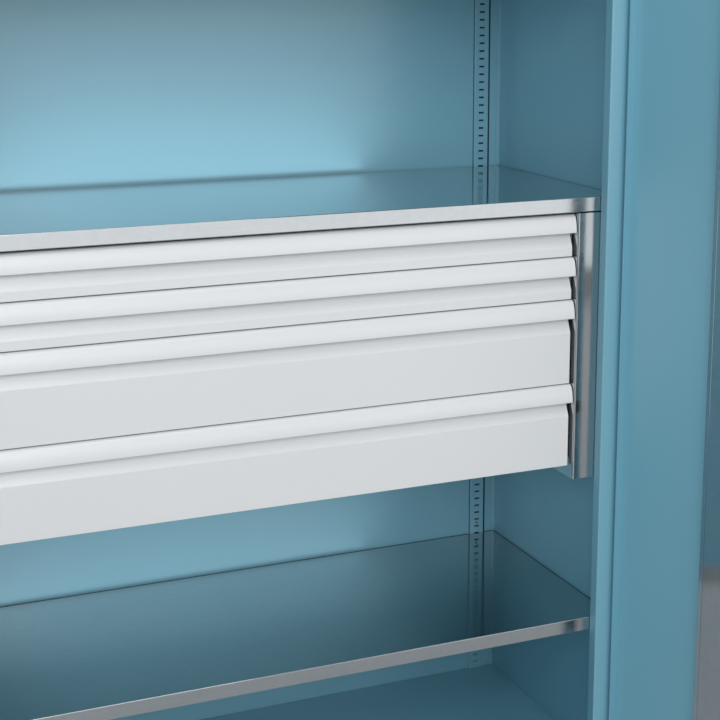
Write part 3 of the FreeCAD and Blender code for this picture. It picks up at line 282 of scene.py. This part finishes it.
rubber = moulded("black_rubber", (0.018, 0.018, 0.019), 0.75)
nylon = moulded("black_nylon", (0.028, 0.028, 0.030), 0.48)
# the same blue darkened to a tenth: painted shade for the unlit hollow of a slot strip, and for the dark gaps beside
# the strips and round the shelves
blue_painted_shade = powder_coat("blue_powder_coat_painted_shade", shade(BLUE, 0.10), 0.6, 0.3, 0.0, 0.3)

BY_SLOT = {
    "blue_paint": blue,
    "grey_paint": grey,
    "galvanised": galvanised,
    "rail_steel": rail_steel,
    "bright_steel": bright_steel,
    "dark_casting": casting,
    "chrome": nickel,
    "black_rubber": rubber,
    "nylon": nylon,
}
UPRIGHT = ("drawer_block_side_left", "drawer_block_side_right", "door_stiffener_left", "door_stiffener_right", "lock_case")

# --------------------------------------------------- finish of the CAD nodes


def clean_normals():
    """A node group that drops the imported shading, so that the modifiers
    after it can work out smooth normals of their own."""
    g = bpy.data.node_groups.new("clean_normals", "GeometryNodeTree")
    g.interface.new_socket("Geometry", in_out="INPUT", socket_type="NodeSocketGeometry")
    g.interface.new_socket("Geometry", in_out="OUTPUT", socket_type="NodeSocketGeometry")
    gin, gout = g.nodes.new("NodeGroupInput"), g.nodes.new("NodeGroupOutput")
    last = gin.outputs[0]
    for name in ("custom_normal", "sharp_edge"):
        r = g.nodes.new("GeometryNodeRemoveAttribute")
        r.inputs["Name"].default_value = name
        g.links.new(last, r.inputs["Geometry"])
        last = r.outputs["Geometry"]
    m = g.nodes.new("GeometryNodeMergeByDistance")
    m.inputs["Distance"].default_value = 0.000002
    g.links.new(last, m.inputs["Geometry"])
    s = g.nodes.new("GeometryNodeSetShadeSmooth")
    g.links.new(m.outputs["Geometry"], s.inputs["Geometry"])
    g.links.new(s.outputs["Geometry"], gout.inputs[0])
    return g


CLEAN = clean_normals()


def soften(obj, width, segments=2, angle=32.0):
    """Rounds a node's hard edges a little and gives it smooth normals."""
    c = obj.modifiers.new("clean", "NODES")
    c.node_group = CLEAN
    d = obj.modifiers.new("flat", "DECIMATE")
    d.decimate_type = "DISSOLVE"
    d.angle_limit = math.radians(0.4)
    b = obj.modifiers.new("edge", "BEVEL")
    b.width = width
    b.segments = segments
    b.limit_method = "ANGLE"
    b.angle_limit = math.radians(angle)
    b.use_clamp_overlap = True
    b.miter_outer = "MITER_ARC"
    w = obj.modifiers.new("normals", "WEIGHTED_NORMAL")
    w.keep_sharp = False
    w.weight = 50


EDGE = {
    "blue_paint": 0.45,
    "grey_paint": 0.40,
    "galvanised": 0.30,
    "rail_steel": 0.25,
    "bright_steel": 0.25,
    "dark_casting": 0.60,
    "chrome": 0.20,
    "black_rubber": 0.40,
    "nylon": 0.40,
}
# nodes full of small slots and rolled edges keep the mesh they came with
AS_CUT = ("rear_slot_strips", "front_slot_strips", "drawer_block_side_left", "drawer_block_side_right",
          "lock_spindle", "lock_rod_upper", "lock_rod_lower", "shelf_clips", "drawer_outer_rails",
          "door_panel_left", "door_panel_right")
slot_of = {row["node"]: row["material_slot"] for row in frame["record"]["subparts"]}
for name, obj in nodes.items():
    slot = slot_of[name]
    mat = galvanised_up if name in UPRIGHT else BY_SLOT[slot]
    for s in obj.material_slots:
        s.material = mat
    if name in AS_CUT or name.endswith(("_rails", "_cages")):
        continue
    soften(obj, EDGE[slot] * MM)

# ------------------------------------------------------------- new pieces


def new_piece(name, bm, material, body, replaced=(), smooth=True):
    mesh = bpy.data.meshes.new(name)
    bmesh.ops.recalc_face_normals(bm, faces=bm.faces)
    bm.to_mesh(mesh)
    bm.free()
    mesh.materials.append(material)
    for p in mesh.polygons:
        p.use_smooth = smooth
    obj = bpy.data.objects.new(name, mesh)
    scene.collection.objects.link(obj)
    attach(obj, body)
    if replaced:
        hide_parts(*replaced)
    return obj


def round_off(obj, width, segments=3, angle=32.0):
    b = obj.modifiers.new("edge", "BEVEL")
    b.width = width
    b.segments = segments
    b.limit_method = "ANGLE"
    b.angle_limit = math.radians(angle)
    b.miter_outer = "MITER_ARC"
    w = obj.modifiers.new("normals", "WEIGHTED_NORMAL")
    w.keep_sharp = False
    w.weight = 50


def arc(cy, cz, r, a0, a1, n):
    """Points of an arc in the YZ plane, angles in degrees from +Y to +Z."""
    pts = []
    for i in range(n + 1):
        a = math.radians(a0 + (a1 - a0) * i / n)
        pts.append((cy + r * math.cos(a), cz + r * math.sin(a)))
    return pts


def prism(bm, outline, x0, x1):
    """A closed bar along X with the given YZ outline, in millimetres."""
    rows = []
    for x in (x0, x1):
        rows.append([bm.verts.new((x * MM, y * MM, z * MM)) for y, z in outline])
    n = len(outline)
    for i in range(n):
        bm.faces.new((rows[0][i], rows[0][(i + 1) % n], rows[1][(i + 1) % n], rows[1][i]))
    bm.faces.new(rows[0])
    bm.faces.new(list(reversed(rows[1])))


def lathe(bm, profile, at, axis, n=48, spin=0.0):
    """A closed turned form: profile is (distance along the axis, radius) in
    millimetres, with radius 0 at both ends."""
    at, axis = Vector(at), Vector(axis).normalized()
    side = axis.orthogonal().normalized()
    up = axis.cross(side)
    rings = []
    for h, r in profile:
        if r <= 1e-6:
            rings.append([bm.verts.new((at + axis * h) * MM)])
            continue
        ring = []
        for i in range(n):
            a = 2 * math.pi * i / n + spin
            ring.append(bm.verts.new((at + axis * h + (side * math.cos(a) + up * math.sin(a)) * r) * MM))
        rings.append(ring)
    for a, b in zip(rings, rings[1:]):
        for i in range(n):
            j = (i + 1) % n
            if len(a) == 1:
                bm.faces.new((a[0], b[j], b[i]))
            elif len(b) == 1:
                bm.faces.new((a[i], a[j], b[0]))
            else:
                bm.faces.new((a[i], a[j], b[j], b[i]))


def plate(bm, outline, y0, y1):
    """A flat piece with an XZ outline between two Y planes, in millimetres."""
    rows = [[bm.verts.new((x * MM, y * MM, z * MM)) for x, z in outline] for y in (y0, y1)]
    n = len(outline)
    for i in range(n):
        bm.faces.new((rows[0][i], rows[0][(i + 1) % n], rows[1][(i + 1) % n], rows[1][i]))
    bm.faces.new(rows[0])
    bm.faces.new(list(reversed(rows[1])))


def round_plate(x0, z0, x1, z1, r, n=8):
    pts = []
    for cx, cz, a0 in ((x1 - r, z1 - r, 0), (x0 + r, z1 - r, 90), (x0 + r, z0 + r, 180), (x1 - r, z0 + r, 270)):
        for i in range(n + 1):
            a = math.radians(a0 + 90 * i / n)
            pts.append((cx + r * math.cos(a), cz + r * math.sin(a)))
    return pts


# ----------------------------------------------------------------- drawers

NOSE_HALF, NOSE_CAP, FRONT_HALF, NOSE_H, WALL = 509.9, 1.6, 506.9, 31.5, 1.8
BACK_Y, FLAT_Y = -206.0, -217.0


def nose(number, zn):
    """Handle nose: a curved shell, open below and behind, with closed ends.
    One watertight mesh with smooth arcs."""
    zt = zn + NOSE_H
    back = BACK_Y - 0.05
    outer = [(back, zt)]
    outer += arc(-212.533, zn + 22.5, 9.0, 90.0, 157.55, 14)
    outer += arc(-161.7, zn + 1.5, 64.0, 157.55, 180.0, 12)[1:]
    outer += [(-225.7, zn + 0.6)]
    outer += [(-225.1, zn), (-223.9, zn)]
    inner = [(-223.9, zn + 1.5)]
    inner += list(reversed(arc(-161.7, zn + 1.5, 62.2, 157.55, 180.0, 12)))[1:]
    inner += list(reversed(arc(-212.533, zn + 22.5, 7.2, 90.0, 157.55, 14)))[1:]
    inner += [(back, zt - WALL)]
    heel = (back, zn)
    bm = bmesh.new()
    xs = (-NOSE_HALF, NOSE_CAP - NOSE_HALF, NOSE_HALF - NOSE_CAP, NOSE_HALF)

    def row(points, x):
        return [bm.verts.new((x * MM, y * MM, z * MM)) for y, z in points]

    out = [row(outer, x) for x in xs]
    low = [row([heel], x)[0] for x in xs]
    mid = [row([inner[-1]], x)[0] for x in xs]
    into = {k: row(inner[:-1], xs[k]) + [mid[k]] for k in (1, 2)}
    for k in range(3):
        for i in range(len(outer) - 1):
            bm.faces.new((out[k][i], out[k][i + 1], out[k + 1][i + 1], out[k + 1][i]))
        bm.faces.new((out[k][0], out[k + 1][0], mid[k + 1], mid[k]))
    for k, j in ((0, 1), (2, 3)):
        bm.faces.new((mid[k], mid[j], low[j], low[k]))
        bm.faces.new((low[k], low[j], out[j][-1], out[k][-1]))
    for k in (0, 3):
        bm.faces.new(out[k] + [low[k], mid[k]])
    for k in (1, 2):
        bm.faces.new([out[k][-1]] + into[k] + [low[k]])
    a, b = [out[1][-1]] + into[1], [out[2][-1]] + into[2]
    for i in range(len(a) - 1):
        bm.faces.new((a[i], b[i], b[i + 1], a[i + 1]))
    name = "drawer_%d_handle" % number
    obj = new_piece(name + "_nose", bm, grey, "drawer_%d" % number, [name])
    round_off(obj, 0.25 * MM, 2, 40.0)


def front(number, zn, pitch):
    """Drawer front: flat below, leaning back behind the nose above."""
    zt = zn + NOSE_H
    zb = zt - pitch + 2
    p0, p1, p2 = Vector((-216.605, zn - 25.0665)), Vector((FLAT_Y, zn - 26.0)), Vector((FLAT_Y, zn - 27.0136))
    bend = []
    for i in range(7):
        t = i / 6
        bend.append(tuple(p0 * (1 - t) ** 2 + p1 * 2 * t * (1 - t) + p2 * t * t))
    outline = [(BACK_Y, zt - 1.0), (BACK_Y, zn)] + bend
    outline += arc(FLAT_Y + 1.0, zb + 1.0, 1.0, 180.0, 270.0, 6)
    outline += [(BACK_Y + 1.2, zb), (BACK_Y + 1.2, zt - 1.0)]
    bm = bmesh.new()
    prism(bm, outline, -FRONT_HALF, FRONT_HALF)
    name = "drawer_%d_front" % number
    obj = new_piece(name + "_sheet", bm, grey, "drawer_%d" % number, [name])
    round_off(obj, 0.45 * MM, 3, 40.0)


for number, foot, pitch in ((1, 1104.2, 75), (2, 1029.2, 75), (3, 954.2, 150), (4, 804.2, 150)):
    nose(number, foot)
    front(number, foot, pitch)

# -------------------------------------------------------------------- lock

# The lock's pieces are drawn on the closed door and turned open with it.
HANDLE_X, HANDLE_Z, CYL_Z, FACE_Y, PAN_Y = 45.0, 1020.0, 1080.0, -272.0, -270.5
OPEN = (
    Matrix.Translation((0.592, -0.262, 0.0))
    @ Matrix.Rotation(math.radians(115.0), 4, "Z")
    @ Matrix.Translation((-0.592, 0.262, 0.0))
)


def swing(bm):
    bmesh.ops.transform(bm, matrix=OPEN, verts=bm.verts)
    return bm


def lever():
    bm = bmesh.new()
    y0 = FACE_Y - 4.4
    lathe(bm, [(0, 0), (0, 11.6), (0.8, 12.6), (2.2, 13.0), (21.6, 13.0), (23.6, 12.4), (25.0, 10.9), (25.6, 8.4), (25.6, 0)],
          (HANDLE_X, y0, HANDLE_Z), (0, -1, 0), 64)
    # arm: rounded bar, narrower towards its round end
    sections = []
    n = 24
    for i in range(15):
        t = i / 14
        x = HANDLE_X + 3 + 95.5 * t
        half = 9.6 - 2.7 * t
        thick = 5.6 - 0.5 * t
        sections.append((x, half, thick))
    for k in range(1, 9):
        a = math.radians(90 * k / 8)
        sections.append((HANDLE_X + 98.5 + 8.6 * math.sin(a), max(6.9 * math.cos(a), 0.02), max(5.1 * math.cos(a) ** 0.6, 0.02)))
    rings = []
    for x, half, thick in sections:
        ring = []
        for i in range(n):
            a = 2 * math.pi * i / n
            c, d = math.cos(a), math.sin(a)
            px = math.copysign(abs(c) ** 0.55, c) * half
            py = math.copysign(abs(d) ** 0.55, d) * thick
            ring.append(bm.verts.new((x * MM, (FACE_Y - 24.0 + py) * MM, (HANDLE_Z + px) * MM)))
        rings.append(ring)
    for a, b in zip(rings, rings[1:]):
        for i in range(n):
            j = (i + 1) % n
            bm.faces.new((a[i], a[j], b[j], b[i]))
    bm.faces.new(list(reversed(rings[0])))
    bm.faces.new(rings[-1])
    obj = new_piece("handle_lever_cast", swing(bm), casting, "door_handle", ["handle_lever"])
    w = obj.modifiers.new("normals", "WEIGHTED_NORMAL")
    w.keep_sharp = False


def escutcheon():
    """Cover plate with two round openings and rounded corners."""
    x0, x1, z0, z1 = HANDLE_X - 20, HANDLE_X + 20, HANDLE_Z - 35, CYL_Z + 30
    bm = bmesh.new()
    outline = round_plate(x0, z0, x1, z1, 12.0, 10)
    holes = [(HANDLE_X, HANDLE_Z, 6.6), (HANDLE_X, CYL_Z, 9.3)]
    loops = []
    for y in (FACE_Y - 4, FACE_Y):
        edges = []
        rim = [bm.verts.new((x * MM, y * MM, z * MM)) for x, z in outline]
        edges += [bm.edges.new((rim[i], rim[(i + 1) % len(rim)])) for i in range(len(rim))]
        rounds = []
        for cx, cz, r in holes:
            ring = [bm.verts.new(((cx + r * math.cos(2 * math.pi * i / 48)) * MM, y * MM, (cz + r * math.sin(2 * math.pi * i / 48)) * MM)) for i in range(48)]
            edges += [bm.edges.new((ring[i], ring[(i + 1) % 48])) for i in range(48)]
            rounds.append(ring)
        bmesh.ops.triangle_fill(bm, use_beauty=True, use_dissolve=False, edges=edges)
        loops.append([rim] + rounds)
    for a, b in zip(*loops):
        n = len(a)
        for i in range(n):
            bm.faces.new((a[i], a[(i + 1) % n], b[(i + 1) % n], b[i]))
    obj = new_piece("lock_escutcheon_plate", swing(bm), casting, "door_right", ["lock_escutcheon"])
    d = obj.modifiers.new("flat", "DECIMATE")
    d.decimate_type = "DISSOLVE"
    d.angle_limit = math.radians(0.5)
    round_off(obj, 0.9 * MM, 4, 40.0)


def key():
    """Flat key: round bow with a hole, blade with cuts along one edge."""
    bm = bmesh.new()
    y_bow, z0 = FACE_Y - 22, CYL_Z
    blade_end = PAN_Y + 5.0
    cuts = [(-12.0, 3.8), (-6.0, 3.8), (-4.2, 2.2), (-2.6, 2.2), (-1.4, 3.2), (0.4, 3.2), (1.6, 1.9), (3.0, 1.9)]
    top = [(FACE_Y + y, z0 + z) for y, z in cuts] + [(blade_end - 1.8, z0 + 1.4), (blade_end, z0 - 0.4)]
    low = [(blade_end - 1.2, z0 - 3.8), (FACE_Y - 12.0, z0 - 3.8)]
    start = math.degrees(math.asin(3.8 / 12.0))
    bow = arc(y_bow, z0, 12.0, -start, -360 + start, 60)
    outline = top + low + bow
    rows = []
    for x in (HANDLE_X - 0.85, HANDLE_X + 0.85):
        edges = []
        rim = [bm.verts.new((x * MM, y * MM, z * MM)) for y, z in outline]
        edges += [bm.edges.new((rim[i], rim[(i + 1) % len(rim)])) for i in range(len(rim))]
        ring = [bm.verts.new((x * MM, (y_bow - 5 + 3 * math.cos(2 * math.pi * i / 32)) * MM, (z0 + 3 * math.sin(2 * math.pi * i / 32)) * MM)) for i in range(32)]
        edges += [bm.edges.new((ring[i], ring[(i + 1) % 32])) for i in range(32)]
        bmesh.ops.triangle_fill(bm, use_beauty=True, use_dissolve=False, edges=edges)
        rows.append([rim, ring])
    for a, b in zip(*rows):
        n = len(a)
        for i in range(n):
            bm.faces.new((a[i], a[(i + 1) % n], b[(i + 1) % n], b[i]))
    for v in bm.verts:
        if v.co.y > (FACE_Y - 12.1) * MM:
            v.co.x = HANDLE_X * MM + math.copysign(0.55 * MM, v.co.x - HANDLE_X * MM)
    obj = new_piece("lock_key_flat", swing(bm), nickel, "key", ["lock_key"])
    d = obj.modifiers.new("flat", "DECIMATE")
    d.decimate_type = "DISSOLVE"
    d.angle_limit = math.radians(0.5)
    round_off(obj, 0.2 * MM, 2, 40.0)


def screws():
    """Low round screw heads with a cross recess."""
    bm = bmesh.new()
    cz0, cz1 = HANDLE_Z - 60, CYL_Z + 22
    for x, z in ((HANDLE_X - 3, cz1 + 6), (HANDLE_X + 19, cz1 + 6), (HANDLE_X - 19, cz0 - 6), (HANDLE_X + 3, cz0 - 6)):
        y0 = PAN_Y + 1.5
        lathe(bm, [(0, 0), (0, 4.0), (0.7, 4.0), (1.5, 3.5), (2.1, 2.5), (2.35, 1.5), (2.4, 1.0), (1.2, 0.7), (1.2, 0)], (x, y0, z), (0, 1, 0), 32)
        for a in (0.0, math.pi / 2):
            c, d = math.cos(a), math.sin(a)
            for s in (1, -1):
                pts = [(0.8, -0.32), (2.1, -0.32), (2.1, 0.32), (0.8, 0.32)]
                quad = [(x + (u * c - v * d) * s, z + (u * d + v * c) * s) for u, v in pts]
                plate(bm, quad, y0 + 2.05, y0 + 2.4)
    new_piece("lock_screw_heads", swing(bm), bright_steel, "door_right", ["lock_screws"], smooth=False)


lever()
escutcheon()
key()
screws()

# ------------------------------------------------------------ feet, buffers


def feet():
    bm = bmesh.new()
    for s in (1, -1):
        for y in (-203, 195):
            at = (545 * s, y, 0)
            lathe(bm, [(0, 0), (0, 16.6), (0.6, 17.6), (1.8, 18.0), (3.6, 17.7), (4.8, 16.4), (5.0, 15.0), (5.6, 9.6), (6.4, 9.0), (9, 9.0), (9, 5.0)]
                  + [(9 + 0.75 * k, 5.0 if k % 2 else 4.45) for k in range(1, 82)] + [(70.5, 4.4), (71, 0)], at, (0, 0, 1), 40)
            lathe(bm, [(55.2, 0), (55.2, 8.0), (55.9, 9.0), (62.1, 9.0), (62.9, 8.0), (62.9, 0)], at, (0, 0, 1), 6, math.pi / 6)
    obj = new_piece("levelling_feet_turned", bm, bright_steel, "cabinet", ["levelling_feet"])
    w = obj.modifiers.new("normals", "WEIGHTED_NORMAL")
    w.keep_sharp = False


feet()

# -------------------------------------------------- painted shade of the slot strips


def post(bm, outline, z0, z1):
    """A closed upright bar with the given XY outline, in millimetres."""
    rows = [[bm.verts.new((x * MM, y * MM, z * MM)) for x, y in outline] for z in (z0, z1)]
    n = len(outline)
    for i in range(n):
        bm.faces.new((rows[0][i], rows[0][(i + 1) % n], rows[1][(i + 1) % n], rows[1][i]))
    bm.faces.new(rows[0])
    bm.faces.new(list(reversed(rows[1])))


def strip_painted_shade():
    """Dark bars of painted shade: the unlit back of the rear slot strips' hollow, and painted shadow lines beside them.
    """
    bm = bmesh.new()
    for s in (1, -1):
        for x0, x1, y0, y1 in ((544.4, 570.6, 239.6, 240.7), (541.3, 542.3, 240.6, 240.9), (572.7, 577.2, 240.6, 240.9)):
            c = 0.12
            outline = [(x0 + c, y0), (x1 - c, y0), (x1, y0 + c), (x1, y1), (x0, y1), (x0, y0 + c)]
            post(bm, [(x * s, y) for x, y in outline], 140.0, 1860.0)
    new_piece("rear_slot_strip_painted_shade", bm, blue_painted_shade, "cabinet", smooth=False)


strip_painted_shade()


def shelf_painted_shade(shelf):
    """Dark bars of painted shade in the gaps between a shelf and the walls behind and beside it."""
    top = max((nodes[shelf].matrix_world @ Vector(c)).z for c in nodes[shelf].bound_box) / MM
    bm = bmesh.new()
    for x0, x1, y0, y1 in (
        (-541.0, 541.0, 236.8, 240.8),
        (578.0, 598.2, 236.8, 240.8),
        (-598.2, -578.0, 236.8, 240.8),
        (596.1, 598.2, -190.0, 236.0),
        (-598.2, -596.1, -190.0, 236.0),
    ):
        c = 0.3
        outline = [(x0 + c, y0), (x1 - c, y0), (x1, y0 + c), (x1, y1 - c), (x1 - c, y1), (x0 + c, y1), (x0, y1 - c), (x0, y0 + c)]
        post(bm, outline, top - 6.0, top - 0.9)
    new_piece(shelf + "_gap_painted_shade", bm, blue_painted_shade, "cabinet", smooth=False)


for name in ("shelf_lower", "shelf_middle", "shelf_upper"):
    shelf_painted_shade(name)

# ------------------------------------------------------------------- floor


def floor():
    bm = bmesh.new()
    bmesh.ops.create_circle(bm, cap_ends=True, radius=14.0, segments=96)
    mesh = bpy.data.meshes.new("floor")
    bm.to_mesh(mesh)
    bm.free()
    s = Shader("pale_floor", Specular_IOR_Level=0.25)
    drift = s.noise(s.place, 1.3, 3.0)
    s.to("Base Color", s.mix(drift, (0.50, 0.505, 0.51), (0.54, 0.545, 0.55)))
    s.to("Roughness", s.to_range(drift, 0.50, 0.60, 0.3, 0.7))
    s.to("Normal", s.bump(s.noise(s.place, 300.0, 2.0), 0.0001, 0.3))
    mesh.materials.append(s.material)
    obj = bpy.data.objects.new("floor", mesh)
    scene.collection.objects.link(obj)


floor()

# ------------------------------------------------------------------- light


def world(strength, color):
    w = bpy.data.worlds.new("studio")
    scene.world = w
    w.use_nodes = True
    bg = next(n for n in w.node_tree.nodes if n.type == "BACKGROUND")
    bg.inputs["Color"].default_value = (*color, 1.0)
    bg.inputs["Strength"].default_value = strength


def softbox(name, at, aim, size, radiance, color=(1, 1, 1)):
    data = bpy.data.lights.new(name, "AREA")
    data.shape = "RECTANGLE"
    data.size, data.size_y = size
    data.energy = radiance * math.pi * size[0] * size[1]
    data.color = color
    obj = bpy.data.objects.new(name, data)
    scene.collection.objects.link(obj)
    d = Vector(aim) - Vector(at)
    obj.matrix_world = Matrix.Translation(at) @ d.to_track_quat("-Z", "Y").to_matrix().to_4x4()
    obj.visible_camera = False
    return obj


world(0.38, (0.98, 0.99, 1.0))
softbox("wall", (1.9, -4.7, 1.4), (1.1, 0.0, 1.2), (5.6, 2.5), 0.92)
softbox("key", (-1.1, -4.3, 2.9), (0.2, 0.0, 1.1), (3.0, 2.0), 4.0)
softbox("top", (0.0, -2.4, 4.6), (0.0, 0.0, 1.0), (2.6, 1.8), 2.5)



def bounce(name, shelf, x, width, depth, radiance):
    """The light a bright shelf throws up at the wall behind it."""
    top = max((nodes[shelf].matrix_world @ Vector(c)).z for c in nodes[shelf].bound_box)
    y = 0.236 - depth / 2
    obj = softbox(name, (x, y, top + 0.004), (x, y, top + 1.0), (width, depth), radiance)
    obj.visible_glossy = False


bounce("bounce_middle", "shelf_middle", -0.07, 0.75, 0.24, 1.35)
bounce("bounce_lower", "shelf_lower", -0.07, 0.75, 0.30, 0.68)

scene.view_settings.view_transform = "Standard"
scene.view_settings.look = "None"
